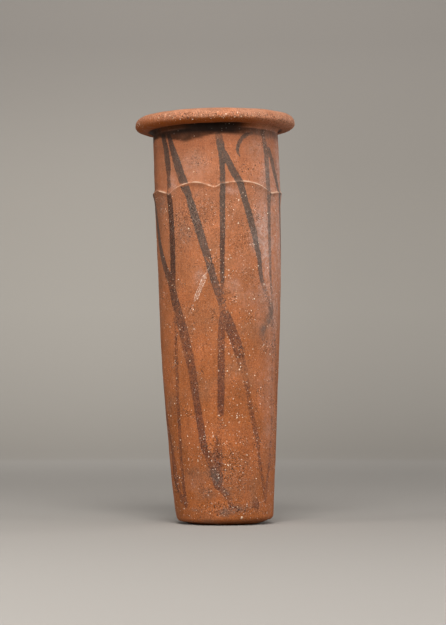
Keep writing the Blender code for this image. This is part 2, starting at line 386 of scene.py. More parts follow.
# Painted strokes from their top down: (height, azimuth, width, strength) at points on each
STROKES = (
    # The upright and the long slanting stroke at the left, and those that start beyond the edge
    ((271, -55.5, 5, 0.9), (262, -52, 5.4, 1), (250, -49.5, 5.6, 1), (243, -49, 4, 0.9),
     (235, -48.5, 4.3, 0.9), (222, -48, 5.4, 1), (210, -47.4, 5.4, 1), (184, -47.4, 5.4, 1),
     (170, -48, 5.4, 0.9), (152, -47.5, 4, 0.4), (137, -46.5, 3.4, 0.55), (98, -48, 3.4, 0.6),
     (70, -49, 3.4, 0.75), (40, -50.5, 3, 0.7), (14, -49.5, 4, 0.85)),
    ((66, -74, 2.5, 0.5), (59, -71, 2.6, 0.8), (48, -69.5, 2.6, 0.9), (38, -69.5, 3, 0.9),
     (30, -67.5, 3, 0.9), (24, -62, 3, 0.8), (20, -56, 3, 0.7), (17, -51, 3, 0.6)),
    ((271, -104, 6, 0.9), (240, -89, 6, 0.9), (205, -73, 5.6, 0.95), (197, -70.5, 6.4, 1),
     (189, -66.3, 6.2, 1), (181, -61, 6.4, 0.95), (168, -51, 6.5, 0.85), (156, -46.5, 7.8, 0.9),
     (141, -39.5, 8, 0.8), (126, -34, 7.8, 0.78), (107, -28.5, 6.6, 0.8), (88, -25.5, 5.5, 0.85),
     (70, -22, 5.4, 0.95), (56, -20, 5.2, 0.92), (50, -16.2, 5.8, 0.8), (44, -11.6, 7, 0.7),
     (38, -7.4, 8.4, 0.8), (32, -6.4, 7.4, 0.9), (28.5, -6.6, 5.4, 0.8), (26, -3.2, 5, 0.75),
     (23, 1, 4.5, 0.75), (18.7, 5.5, 3.5, 0.6), (13.5, 8, 3.5, 0.65), (12.2, 15.5, 2.4, 0.6)),
    ((271, -46.8, 4, 0.95), (265, -44.4, 4.8, 1), (257, -40.6, 6, 1), (247, -36, 6.8, 1),
     (242, -34, 6.8, 1), (236, -30.5, 6.8, 1), (230, -27.5, 5.4, 0.95), (225, -25.4, 5.2, 0.95),
     (221, -24, 5.8, 1), (204, -17.5, 6, 1), (188, -11.4, 5.4, 1), (171, -5.3, 5, 0.95),
     (163, -2.2, 5, 0.85), (156, 1, 5, 0.8), (150, 3.5, 5.5, 0.85), (143, 7, 6.6, 0.85),
     (134, 11.5, 7.2, 0.88), (127, 15, 7.6, 0.85), (119, 18.5, 7, 0.75), (111, 22, 6, 0.5),
     (104, 25, 5, 0.15), (98, 27, 4, 0.5), (80, 31.5, 3.8, 0.6), (64, 38, 3.8, 0.7),
     (54, 41, 3.2, 0.55), (41, 44.5, 3, 0.65), (31, 48.5, 3, 0.6), (18, 54, 3, 0.5)),
    ((17, 37, 4, 0.3), (15, 38.5, 6.5, 0.65), (12.5, 40, 5.5, 0.5)),
    # The upright in the middle, the stroke that forks from it, and the hook beside them
    ((270, 2.6, 5, 0.45), (266, 3.6, 5.2, 0.85), (262, 4.4, 5.2, 1), (257, 4.8, 4.6, 1),
     (246, 4.9, 3.8, 1), (237, 4.8, 3.8, 1), (221, 3.9, 4, 1), (204, 3.6, 3.6, 1),
     (188, 2.9, 3.4, 1), (171, 2.7, 3, 0.9), (165, 3, 2.6, 0.6), (156, 3.4, 3, 0.45),
     (151, 3.2, 4, 0.75), (144, 2.5, 4.8, 0.85), (134, 1.4, 5, 0.85), (120, 0.9, 4.8, 0.8),
     (104, 0.6, 4.8, 0.9), (92, 0.2, 5, 0.95), (80, -0.6, 4.6, 0.85), (73, -1.2, 4.2, 0.25),
     (64, -3.6, 4, 0.25), (57, -4, 4.5, 0.45), (50, -4.6, 6.5, 0.7), (43, -5.5, 7, 0.75)),
    ((258, 7, 4, 1), (254, 9.5, 4.2, 1), (246, 14, 5, 1), (238, 20, 5.4, 1), (234, 21.8, 4.8, 1),
     (225, 25.3, 4.8, 1), (209, 31.2, 5.2, 1), (201, 34.4, 4.8, 1), (192, 37.2, 4.6, 1),
     (184, 39.8, 4, 1), (176, 41, 4, 1), (170, 43, 3.8, 0.9), (165, 46, 4, 0.5),
     (154, 53.5, 4, 0.3), (140, 60, 5, 0.35), (95, 76, 5, 0.3), (25, 98, 4, 0.4)),
    ((272, 35, 2, 0.6), (271, 29, 2.6, 0.8), (268, 24, 2.6, 0.85), (264.5, 20.8, 2.6, 0.9),
     (261, 19.6, 2.4, 0.9), (258, 19.8, 1.8, 0.85), (255.5, 21.4, 1, 0.7)),
    # The upright and the slanting stroke at the right
    ((274, 47.5, 4, 0.5), (270, 49, 4, 0.6), (264, 50.8, 4.8, 0.85), (257, 52, 4.8, 0.85),
     (243, 52.6, 4.6, 0.8), (222, 52.8, 4, 0.85), (206, 53, 3.6, 0.85), (189, 54.2, 3.2, 0.8),
     (172, 55.4, 2.6, 0.75), (162, 57.2, 2.6, 0.5), (150, 59, 3, 0.3), (80, 63, 3, 0.3),
     (55, 62.5, 3, 0.5), (41, 60.5, 3.2, 0.55), (25, 55, 3.2, 0.6), (17, 53.5, 3, 0.6)),
    ((262.5, 56.5, 3.8, 0.8), (257, 60, 4.8, 0.85), (249, 63.8, 5.4, 0.9), (241, 69.5, 4.8, 0.9),
     (231.5, 75, 5, 0.9), (221, 78.5, 5, 0.9), (190, 86, 5, 0.9), (120, 115, 6, 0.7),
     (20, 150, 4, 0.5)),
)

# The hidden side goes on with the same net: an upright and a slanting stroke from each azimuth
HIDDEN_STARTS = (103, 154, 204, 255)
HIDDEN_SLANTS = 3
SLANT_TURN = 99
HIDDEN_SHARES = (0, 0.12, 0.3, 0.5, 0.7, 0.86, 1)
HIDDEN_WANDER = 1.2
HIDDEN_SEED = 11
# How wide they are at the top, how unevenly, and how strong, and what each loses on its way down
UPRIGHT_WIDTH = 4.8
SLANT_WIDTH = 5.4
WIDTH_UNEVEN = 0.4
WIDTH_LOST = 1.6
TOP_STRENGTH = 0.95
STRENGTH_LOST = 0.35
PAINT_TOP = 271
PAINT_FOOT = 17
PAINT_REACH = 10

# Soft ovals on the outer side are (azimuth, height, half width, half height, amount), with a tilt
# in degrees before the amount where they have one. These are where the paint is rubbed off.
WORN = (
    (-42, 239, 3.6, 5.5, -10, 0.9), (-33, 236, 5, 1.1, 1), (-28, 236.2, 4, 0.8, 0.8),
    (-46.5, 233.2, 4, 2.2, 1), (53, 231.5, 5, 1, 0.8), (4, 237, 3, 0.6, 0.4),
    (-9, 183, 3.5, 1, 40, 0.7), (4, 151, 4, 4, 0.5), (19, 121, 4, 1.2, 30, 0.6),
    (110, 190, 8, 10, 0.6), (200, 120, 9, 12, 20, 0.6), (-130, 160, 8, 14, 0.5),
)

# The dark band under the lip is paint, made near black as painted shade under the lip too: (azimuth,
# the height down to which it is dense, where its thin part ends, and how dark the dense and the thin
# part are)
BAND = (
    (-180, 273, 268.5, 0.93, 0.7), (-110, 272.5, 267.5, 0.93, 0.7), (-72, 273, 270.5, 0.93, 0.85),
    (-62, 273, 271, 0.93, 0.85), (-48, 273, 269, 0.96, 0.8), (-38, 273, 267.5, 0.97, 0.82),
    (-27, 273, 266, 0.98, 0.72), (-17, 273, 268, 0.98, 0.75), (-8, 273, 269.5, 0.99, 0.75),
    (-1, 273, 270.8, 0.99, 0.72), (16, 272.8, 270.8, 0.97, 0.65), (27, 274.5, 271, 0.85, 0.6),
    (37, 275.5, 271.8, 0.8, 0.55), (47, 275.5, 271.5, 0.78, 0.58), (60, 275, 271.6, 0.68, 0.48),
    (75, 274, 270.5, 0.55, 0.38), (110, 272.5, 268.5, 0.93, 0.7), (150, 274, 270.5, 0.93, 0.7),
    (180, 273, 268.5, 0.93, 0.7),
)
BAND_THINS_OVER = 2.2
BAND_ENDS_OVER = 1.4
BAND_ON_LIP = 3.6
# Where the lip's root is bare above the band: azimuth, half width in degrees and amount
BARE_ROOTS = ((44, 16, 0.9), (72, 16, 0.65), (-45, 18, 0.2))
# Where the painted shade under the lip is weaker, in the same way
PALER_UNDER_LIP = (66, 34, 0.85)
# Where the painted shade under the lip starts higher up its edge, in the same way
DARKER_LIP_EDGE = (-85, 48, 0.75)
# Over which heights from the lip's edge the painted shade darkens it, and over which ones at the
# left
LIP_DARKENS = (-0.6, -2.4)
LEFT_DARKENS = (2.5, 0)

# Ovals of grey-brown stain
STAINS = (
    (-31, 201, 7, 8, 0.5), (-65, 224, 6, 7, 0.5), (-13, 230, 7, 3, 0.35), (52, 231, 6, 5, 0.4),
    (50, 137, 9, 16, 0.3), (40, 15, 4.5, 3.5, 0.25), (15, 11.5, 9, 2, -6, 0.65), (0, 9, 4, 3, 0.4),
    (-17, 22, 5, 3.5, 0.35), (-35, 11, 4, 0.8, 0.5), (-20, 255, 9, 6, 0.25), (44, 160, 4, 8, 0.3),
    (22, 25, 12, 9, 0.2), (130, 80, 18, 24, 0.4), (-140, 210, 16, 14, 0.35), (175, 30, 16, 10, 0.4),
)
# Ovals of grey dust and soot that lie over clay and paint
GREY_DUST = (
    (-10, 36, 3.5, 4.5, 0.6), (-6, 31, 3, 4, 0.75), (-15, 36, 4, 4, 0.4), (-36, 36, 8, 4.5, 0.4),
    (2, 23.5, 3, 3, 0.5), (1, 9.5, 5, 2.5, 0.55), (-32, 10.5, 5, 1, 0.5), (-20, 22, 5, 4, 0.35),
    (57, 149, 3.2, 9, 0.9), (51, 141, 3.6, 8, 25, 0.7), (44, 134, 3, 6, 0.8), (-58, 226, 3, 4, 0.5),
    (-52, 262, 4, 6, 0.25), (36, 197, 4, 10, 0.35), (52, 245, 4, 12, 0.35), (68, 248, 4, 14, 0.4),
    (66, 272, 12, 3.5, 0.5), (46, 272, 10, 3.5, 0.45), (160, 120, 12, 16, 0.4),
    (-110, 40, 8, 10, 0.4),
)
# Ovals where the clay is darker and the crest's painted highlight weaker; those at the left edge,
# from -80 to -71 degrees, are painted shade
DARK_PLACES_AND_SHADE = (
    (-19, 235.4, 7, 1.4, 0.6), (7, 234.5, 7, 3, 0.7), (-32, 212, 6, 9, 0.42), (-16, 214, 4, 6, 0.5),
    (-10, 221, 7, 9, 0.5), (-22, 252, 16, 10, 0.1), (-38, 177, 8, 12, 0.12), (-30, 228, 6, 5, 0.3),
    (-72, 218, 9, 18, 0.6), (-80, 245, 8, 28, 0.5), (-71, 204, 8, 12, 0.25), (-45, 190, 7, 16, 0.2),
    (20, 172, 9, 9, 0.25), (20, 35, 14, 16, 0.25), (-30, 55, 9, 18, 0.2), (20, 12, 14, 4, 0.35),
    (33, 171, 4, 6, 0.3), (150, 60, 20, 26, 0.3), (-130, 150, 20, 26, 0.3),
)
# Ovals of pale bloom; those on the right side, from about 40 to 80 degrees, also carry a painted
# sheen
BLOOMS_AND_SHEEN = (
    (-32, 29, 9, 5, 0.15), (40, 139, 5, 8, 0.12), (22, 181, 6, 7, 0.12), (43, 212, 7, 14, 0.75),
    (47, 190, 6, 20, -5, 0.9), (50, 240, 10, 14, 0.4), (60, 205, 8, 40, 0.4), (60, 95, 8, 60, 0.25),
    (80, 255, 8, 24, 0.75), (78, 210, 9, 50, 0.75), (46, 160, 10, 12, 0.4), (64, 150, 8, 20, 0.4),
    (52, 247, 5, 10, 0.4), (34, 199, 4, 9, 0.55), (46, 100, 9, 16, 0.08), (13, 166, 5, 5, 0.3),
    (-19, 172, 4, 6, 25, 0.4), (25, 158, 7, 8, 30, 0.15), (13, 232, 6, 3, 0.4),
    (-44, 238, 4, 6, 0.5), (-22, 248, 12, 9, 0.25), (45, 262, 14, 8, 0.2), (150, 190, 20, 40, 0.4),
    (-120, 90, 16, 30, 0.3),
)
# Ovals thick with dark grits and pits
PITTED_PLACES = (
    (-22, 214, 18, 16, 0.6), (-45, 205, 8, 14, 0.5), (30, 247, 9, 6, 0.8), (52, 158, 7, 7, 0.5),
    (20, 195, 9, 14, 0.35), (34, 171, 6, 8, 0.5), (6, 40, 18, 20, 0.7), (10, 12, 30, 5, 0.7),
    (130, 160, 25, 40, 0.7), (-150, 60, 25, 30, 0.7), (170, 216, 20, 14, 0.7),
    (-100, 170, 14, 24, 0.7),
)
# Ovals thick with lime grits
LIMY_PLACES = (
    (14, 176, 10, 16, 20, 0.5), (48, 160, 9, 9, 0.7), (28, 158, 6, 7, 0.5), (10, 106, 14, 30, 0.6),
    (-28, 120, 6, 20, 0.5), (6, 46, 18, 22, 0.9), (30, 85, 10, 14, 0.5), (10, 12, 30, 5, 0.4),
    (120, 90, 25, 40, 0.7), (-140, 120, 25, 40, 0.6), (-90, 60, 14, 24, 0.6),
)
# Ovals where the grey-brown paint is redder
RED_PAINT = (
    (-50, 205, 9, 60, 0.9), (-48, 268, 5, 8, 0.4), (-34, 243, 6, 16, 0.3), (3, 188, 4, 26, 0.5),
    (-130, 190, 30, 40, 0.6), (150, 180, 30, 30, 0.5),
)

MARKS = {
    "stain": STAINS,
    "bloom_and_sheen": BLOOMS_AND_SHEEN,
    "grey_dust": GREY_DUST,
    "dark_place_and_shade": DARK_PLACES_AND_SHADE,
    "pitted": PITTED_PLACES,
    "limy": LIMY_PLACES,
    "red_paint": RED_PAINT,
}

# One bundle of fine pale scratches: its two ends as (height, azimuth)
SCRATCH = ((172.5, -13), (157, -22.6))


def smoothed(stroke, parts=5):
    """The same stroke with more points, on a curve through the ones that are given."""
    knots = np.array([stroke[0], *stroke, stroke[-1]], dtype=float)
    points = []
    for before, start, end, after in zip(knots, knots[1:], knots[2:], knots[3:]):
        for share in steps_between(0, 1, parts):
            bend = 2 * start + (end - before) * share
            bend += (2 * before - 5 * start + 4 * end - after) * share**2
            bend += (3 * start - before - 3 * end + after) * share**3
            points.append(bend / 2)
    return np.array(points + [knots[-1]])


def hidden_strokes():
    """Uprights and slanting strokes of the side that the photograph doesn't show."""
    chance = random.Random(HIDDEN_SEED)
    strokes = []
    for number, start in enumerate(HIDDEN_STARTS):
        slants = (0, SLANT_TURN) if number < HIDDEN_SLANTS else (0,)
        for turn in slants:
            stroke = []
            for down in HIDDEN_SHARES:
                height = PAINT_TOP + (PAINT_FOOT - PAINT_TOP) * down
                azimuth = start + turn * down**0.9 + chance.uniform(-HIDDEN_WANDER, HIDDEN_WANDER)
                width = (SLANT_WIDTH if turn else UPRIGHT_WIDTH) - WIDTH_LOST * down
                width += chance.uniform(-WIDTH_UNEVEN, WIDTH_UNEVEN)
                stroke.append((height, azimuth, width, TOP_STRENGTH - STRENGTH_LOST * down))
            strokes.append(stroke)
    return strokes


def painted(surface):
    """(how far inside a stroke's edge each point is, that stroke's strength)."""
    heights = surface.points[:, 2]
    inside = np.full(len(heights), float(-FAR_OFF))
    best = inside.copy()
    strength = np.zeros(len(heights))
    for stroke in [*STROKES, *hidden_strokes()]:
        points = smoothed(stroke)
        for start, end in zip(points, points[1:]):
            low, high = sorted((start[0], end[0]))
            level = (heights > low - PAINT_REACH) & (heights < high + PAINT_REACH)
            near = np.flatnonzero(surface.outside & level)
            radius = body_radius(heights[near])
            from_x = np.radians(degrees_apart(start[1], surface.azimuth[near])) * radius
            from_z = start[0] - heights[near]
            run_x = math.radians(end[1] - start[1]) * radius
            run_z = end[0] - start[0]
            length = np.maximum(run_x**2 + run_z**2, 1e-9)
            share = np.clip(-(from_x * run_x + from_z * run_z) / length, 0, 1)
            distance = np.hypot(from_x + run_x * share, from_z + run_z * share)
            depth = (start[2] + (end[2] - start[2]) * share) / 2 - distance
            amount = start[3] + (end[3] - start[3]) * share
            score = np.where(depth < 0, depth, depth * amount)
            better = score > best[near]
            chosen = near[better]
            best[chosen] = score[better]
            inside[chosen] = depth[better]
            strength[chosen] = amount[better]
    for *oval, amount in WORN:
        strength *= 1 - amount * spot(surface.azimuth, heights, *oval)
    inside[~surface.outside] = -FAR_OFF
    return inside, strength


def azimuth_spot(surface, azimuth, half_width):
    """1 round an azimuth, falling to 0 beyond a half width."""
    return np.exp(-(degrees_apart(surface.azimuth, azimuth) / half_width) ** 4)


def neck_band_and_shade(surface):
    """How dark the paint under the lip is, darkened further as painted shade: dense at the neck, and
    thinning out below it.
    """
    azimuth = degrees_apart(surface.azimuth, 0)
    heights = surface.points[:, 2]
    around, *columns = zip(*BAND)
    dense_down_to, ends_at, dense, thin = (np.interp(azimuth, around, column) for column in columns)
    whole = share_between(heights, dense_down_to - BAND_THINS_OVER, dense_down_to)
    half = BAND_ENDS_OVER / 2
    band = (thin + (dense - thin) * whole) * share_between(heights, ends_at - half, ends_at + half)
    reach = body_radius(neck_height) + BAND_ON_LIP
    under = surface.on_lip & (surface.nominal < lip_edge_height)
    root = share_between(surface.radius, reach, reach - 1)
    for *around, amount in BARE_ROOTS:
        root *= 1 - amount * azimuth_spot(surface, *around)
    return np.where(under, band * root, np.where(surface.outside, band, 0))


def marked(surface, places):
    """How much of a list of ovals lies on each point."""
    total = np.zeros(len(surface.points))
    for *oval, amount in places:
        total += amount * spot(surface.azimuth, surface.points[:, 2], *oval)
    return np.where(surface.outside, np.minimum(total, 1), 0)


def scratch_side(surface):
    """How far each point is to the side of the bundle of scratches' middle."""
    (top, first), (bottom, last) = SCRATCH
    radius = body_radius((top + bottom) / 2)
    run = np.array((math.radians(last - first) * radius, bottom - top))
    offset_x = np.radians(degrees_apart(surface.azimuth, first)) * radius
    offset_z = surface.points[:, 2] - top
    length = np.linalg.norm(run)
    along = (offset_x * run[0] + offset_z * run[1]) / length
    aside = (offset_x * run[1] - offset_z * run[0]) / length
    beyond = np.maximum(np.maximum(-along, along - length), 0)
    side = np.clip(aside + np.sign(aside) * beyond, -FAR_OFF, FAR_OFF)
    return np.where(surface.outside, side, FAR_OFF)


def under_lip_shade(surface):
    """Painted shade on the lip's underside: how dark it is, fading out up its rounded edge, and
    higher at the left.
    """
    above_edge = surface.nominal - lip_edge_height
    *around, amount = PALER_UNDER_LIP
    dark = share_between(above_edge, *LIP_DARKENS) * (1 - amount * azimuth_spot(surface, *around))
    *around, amount = DARKER_LIP_EDGE
    edge = amount * azimuth_spot(surface, *around) * share_between(above_edge, *LEFT_DARKENS)
    outer = surface.on_lip & (surface.radius > body_radius(neck_height))
    return np.where(outer, np.maximum(dark, edge), 0)


def new_object(name, data):
    thing = bpy.data.objects.new(name, data)
    bpy.context.scene.collection.objects.link(thing)
    return thing


def make_jar(surface):
    """The whole jar as one mesh, with what its material needs to know at each point."""
    mesh = bpy.data.meshes.new("jar_surface")
    mesh.from_pydata((surface.poles_once(surface.points) * MM).tolist(), [], surface.faces())
    inside, strength = painted(surface)
    fields = {name: marked(surface, places) for name, places in MARKS.items()}
    fields |= {
        "paint_depth": inside,
        "paint_strength": strength,
        "neck_band_and_shade": neck_band_and_shade(surface),
        "scratch_side": scratch_side(surface),
        "below_crest": np.where(surface.outside, surface.below_crest, -FAR_OFF),
        "under_lip_shade": under_lip_shade(surface),
        "in_hollow": surface.in_hollow.astype(float),
    }
    for name, values in fields.items():
        values = surface.poles_once(values).astype(np.float32)
        mesh.attributes.new(name, "FLOAT", "POINT").data.foreach_set("value", values)
    mesh.shade_smooth()
    return new_object("jar_surface", mesh)


# Grits that show at the front: (azimuth, height, radius)
LIME_GRITS = (
    (-27, 205.5, 0.7), (19, 209, 0.75), (-7, 190.5, 0.75), (3, 191, 0.5), (-8, 185, 0.6),
    (9, 184, 0.5), (46, 167.5, 0.7), (34, 157, 0.7), (28, 152.5, 0.6), (16, 157, 0.5),
    (-25, 149.5, 0.55), (11, 147, 0.6), (-55, 138, 0.7), (-41, 136, 0.8), (-8, 135, 0.6),
    (-31, 114, 0.75), (12, 118, 0.6), (18, 108, 0.8), (-49, 102, 0.9), (6, 107, 0.7),
    (35, 104, 0.6), (31, 97, 0.6), (9, 92, 0.5), (56, 119, 0.6), (-18, 80, 0.7), (15, 75, 0.6),
    (21, 75, 0.6), (-50, 59, 0.6), (-47, 54, 0.6), (7, 63, 0.6), (1, 57, 0.6), (26, 49, 0.6),
    (24, 44, 0.6), (38, 32.5, 0.7), (20, 5.5, 1.1), (-37, 284.3, 0.55), (-33, 283, 0.6),
    (-43, 282.2, 0.6), (-16, 279.6, 0.6), (-25, 280, 0.4), (-1, 281.8, 0.6), (-2.6, 280, 0.45),
    (8, 283, 0.55), (19, 281.5, 0.7), (33, 285, 0.5), (-30, 281, 0.35), (-23, 281, 0.35),
    (22, 282.5, 0.4), (14, 281, 0.35), (5, 281, 0.35), (-9, 282.5, 0.35),
)
DARK_GRITS = (
    (-30, 6, 0.8), (-9, 7.5, 0.9), (54, 7.5, 0.8), (-19, 107, 0.9), (1, 38, 0.9), (-30, 38.5, 0.6),
    (-12, 14, 0.8), (-9, 13.5, 0.7), (5, 12, 0.8), (8, 11.5, 0.8), (16, 11, 0.9), (24, 10.5, 0.9),
    (26, 250, 0.7), (30, 247, 0.8), (33, 243, 0.7), (40, 241, 0.7), (24, 245, 0.7), (38, 250, 0.7),
    (28, 253, 0.6), (22, 248, 0.6), (35, 247, 0.6), (43, 252, 0.7), (19, 242, 0.6), (31, 240, 0.6),
    (-43, 284, 0.6), (-39, 282, 0.5), (-35, 284, 0.5), (-29, 282.5, 0.5), (-19, 280.6, 0.9),
    (-23, 282, 0.8), (-21, 283.4, 0.5), (-4, 281, 0.5), (-7, 280.4, 0.5), (3, 282, 0.5),
    (11, 281.6, 0.5), (16, 280.8, 0.5), (25, 281, 0.5), (45, 285, 0.6), (47, 283.3, 0.8),
    (55, 282, 0.6), (16, 247, 0.5), (-24, 213, 0.8), (-30, 208, 0.7), (-19, 205, 0.7),
    (-33, 217, 0.7), (-26, 200, 0.8),
)
# Each kind of grit: those listed, where more lie, how many are scattered and what share of them
# stays above the ridge, how many lie on the lip and between which heights, how proud they stand as
# a share of their radius, and their colours
GRITS = {
    "lime_grits": {
        "listed": LIME_GRITS, "thick_places": LIMY_PLACES, "count": 1700, "above_ridge": 0.12,
        "lip_count": 170, "lip_heights": (279.4, 284.6), "proud": 0.35,
        "colours": ((0.52, 0.33, 0.20, 1), (0.95, 0.86, 0.71, 1)),
    },
    "dark_grits": {
        "listed": DARK_GRITS, "thick_places": PITTED_PLACES, "count": 1500, "above_ridge": 0.6,
        "lip_count": 330, "lip_heights": (279.0, 284.0), "proud": 0.3,
        "colours": ((0.042, 0.016, 0.009, 1), (0.17, 0.05, 0.025, 1)),
    },
}
GRIT_SEED = 5
# Rays that look for the grits' places start this far from the jar's middle, and sides of a grain
# count as equal when one is at most this many times another
RAY_START = 100
JUST_OVER = 1.01
GRIT_HEIGHTS = (4, 275)
CLUSTER_SIZE = 16
EVEN_CROWDING = 0.35
CLUSTER_CROWDING = 1.1
# The scattered grits' radii crowd towards the smallest by a power
SMALLEST_GRIT = 0.24
GRITS_GROW_BY = 0.36
GRITS_POWER = 4
LIP_GRIT_RADII = (0.2, 0.45)
# A grain's width and height, as shares of its size
GRAIN_WIDTHS = (0.75, 1.25)
GRAIN_HEIGHTS = (0.6, 0.8)


def crowding(azimuth, height):
    """How thick the grits lie at a place, as the chance that one stays there."""
    angle = math.radians(azimuth)
    point = Vector((math.sin(angle) * BODY_RADIUS, -math.cos(angle) * BODY_RADIUS, height))
    return EVEN_CROWDING + CLUSTER_CROWDING * noise.noise(point / CLUSTER_SIZE)


def grit_places(chance, kind):
    """Seeded (azimuth, height, radius) in clusters all over the outer side, then on the lip."""
    places = []
    while len(places) < kind["count"]:
        azimuth = chance.uniform(-180, 180)
        height = chance.uniform(*GRIT_HEIGHTS)
        crowded = crowding(azimuth, height)
        for *oval, amount in kind["thick_places"]:
            crowded += amount * float(spot(azimuth, height, *oval))
        if height > ridge_height:
            crowded *= kind["above_ridge"]
        if chance.random() < crowded:
            radius = SMALLEST_GRIT + GRITS_GROW_BY * chance.random() ** GRITS_POWER
            places.append((azimuth, height, radius))
    while len(places) < kind["count"] + kind["lip_count"]:
        azimuth = chance.uniform(-180, 180)
        if chance.random() < crowding(azimuth, lip_edge_height):
            tipped = TIP * BODY_RADIUS * math.sin(math.radians(azimuth))
            height = chance.uniform(*kind["lip_heights"]) + tipped
            places.append((azimuth, height, chance.uniform(*LIP_GRIT_RADII)))
    return places


def grain_shape():
    """The corners and outward triangles of a grain with twenty sides and a radius of 1."""
    golden = (1 + math.sqrt(5)) / 2
    corners = [(0, 1, golden), (0, -1, golden), (0, 1, -golden), (0, -1, -golden)]
    corners += [(y, z, x) for x, y, z in corners] + [(z, x, y) for x, y, z in corners]
    corners = [Vector(corner).normalized() for corner in corners]
    edge = min((a - b).length for a, b in combinations(corners, 2)) * JUST_OVER
    triangles = []
    for first, second, third in combinations(range(len(corners)), 3):
        a, b, c = corners[first], corners[second], corners[third]
        if max((a - b).length, (b - c).length, (a - c).length) < edge:
            outward = (b - a).cross(c - a).dot(a) > 0
            triangles.append((first, second, third) if outward else (first, third, second))
    return corners, triangles


def grits_on(jar, places, proud, chance):
    """Small angular grains bedded in the jar's outer side, as one mesh."""
    tree = BVHTree.FromObject(jar, bpy.context.evaluated_depsgraph_get())
    shape, triangles = grain_shape()
    corners = []
    faces = []
    for azimuth, height, radius in places:
        angle = math.radians(azimuth)
        outward = Vector((math.sin(angle), -math.cos(angle), 0))
        middle = Vector((-LEAN * height / HEIGHT * MM, 0, height * MM))
        hit, normal, _, _ = tree.ray_cast(middle + outward * (RAY_START * MM), -outward)
        if hit is None:
            continue
        squash = [chance.uniform(*sizes) for sizes in (GRAIN_WIDTHS, GRAIN_WIDTHS, GRAIN_HEIGHTS)]
        spin = Matrix.Rotation(chance.uniform(0, math.tau), 3, "Z")
        turn = normal.to_track_quat("Z", "Y").to_matrix() @ spin
        seat = hit + normal * radius * (proud - squash[2]) * MM
        faces += [[len(corners) + number for number in triangle] for triangle in triangles]
        for corner in shape:
            squashed = [a * b * radius * MM for a, b in zip(corner, squash)]
            corners.append(seat + turn @ Vector(squashed))
    grain = bpy.data.meshes.new("grain")
    grain.from_pydata(corners, [], faces)
    grain.shade_smooth()
    return grain


class Nodes:
    """Adds nodes to one material and joins them."""

    def __init__(self, name):
        self.material = bpy.data.materials.new(name)
        self.material.use_nodes = True
        self.tree = self.material.node_tree
        self.shader = self.tree.nodes["Principled BSDF"]
        self.place = self.scaled(self.add("ShaderNodeTexCoord").outputs["Object"], 1 / MM)

    def add(self, kind, inputs=None, **settings):
        node = self.tree.nodes.new(kind)
        for name, value in settings.items():
            setattr(node, name, value)
        for key, value in (inputs or {}).items():
            self.join(node.inputs[key], value)
        return node

    def join(self, socket, value):
        if isinstance(value, bpy.types.NodeSocket):
            self.tree.links.new(value, socket)
        else:
            socket.default_value = value

    def math(self, operation, *values, clamp=False):
        inputs = dict(enumerate(values))
        return self.add("ShaderNodeMath", inputs, operation=operation, use_clamp=clamp).outputs[0]

    def times(self, product, *factors):
        for factor in factors:
            product = self.math("MULTIPLY", product, factor)
        return product

    def plus(self, total, *values):
        for value in values:
            total = self.math("ADD", total, value)
        return total

    def spread(self, value, low, high, to_low=0, to_high=1):
        """value moved from low..high to to_low..to_high, and kept inside that."""
        inputs = dict(zip(("Value", "From Min", "From Max", "To Min", "To Max"),
                          (value, low, high, to_low, to_high)))
        return self.add("ShaderNodeMapRange", inputs, interpolation_type="SMOOTHSTEP").outputs[0]

    def mixed(self, amount, first, second, blend="MIX"):
        node = self.add("ShaderNodeMix", data_type="RGBA", blend_type=blend, clamp_factor=True)
        for index, value in ((0, amount), (6, first), (7, second)):
            self.join(node.inputs[index], value)
        return node.outputs[2]

    def scaled(self, colour, amount):
        return self.add("ShaderNodeVectorMath", {0: colour, 3: amount}, operation="SCALE").outputs[0]

    def moved(self, shift, scale):
        inputs = {"Vector": self.place, "Location": (shift, shift, shift), "Scale": scale}
        return self.add("ShaderNodeMapping", inputs).outputs[0]

    def noise(self, size, detail=2, roughness=0.5, stretch=(1, 1, 1), shift=0):
        """Noise from 0 to 1 with lumps about size across, longer along an axis that stretch says."""
        place = self.moved(shift, [1 / (size * share) for share in stretch])
        inputs = {"Vector": place, "Scale": 1, "Detail": detail, "Roughness": roughness}
        return self.add("ShaderNodeTexNoise", inputs).outputs[0]

    def specks(self, spacing, radius, share, shift=0):
        """1 on round specks of a radius, one in some of the cells of a spacing."""
        place = self.moved(shift, [1 / spacing] * 3)
        cells = self.add("ShaderNodeTexVoronoi", {"Vector": place, "Scale": 1, "Randomness": 1})
        picked = self.add("ShaderNodeSeparateColor", {0: cells.outputs["Color"]})
        size = self.spread(picked.outputs[1], 0, 1, 0.4 * radius / spacing, radius / spacing)
        inside = self.spread(self.math("SUBTRACT", size, cells.outputs["Distance"]), -0.04, 0.04)
        return self.times(inside, self.math("LESS_THAN", picked.outputs[0], share))

    def ramp(self, value, *stops):
        """Colours along value, from (position, colour) stops."""
        node = self.add("ShaderNodeValToRGB", {0: value})
        bar = node.color_ramp
        while len(bar.elements) < len(stops):
            bar.elements.new(1)
        for element, (position, colour) in zip(bar.elements, stops):
            element.position = position
            element.color = (*colour, 1)
        return node.outputs[0]

    def field(self, name):
        node = self.add("ShaderNodeAttribute", attribute_type="GEOMETRY", attribute_name=name)
        return node.outputs["Fac"]

    def height(self):
        """The height as a share of the jar's."""
        split = self.add("ShaderNodeSeparateXYZ", {0: self.place})
        return self.math("DIVIDE", split.outputs[2], HEIGHT)

    def bumped(self, lumps, strength):
        bump = self.add("ShaderNodeBump", {"Strength": strength, "Distance": MM, "Height": lumps})
        self.join(self.shader.inputs["Normal"], bump.outputs[0])
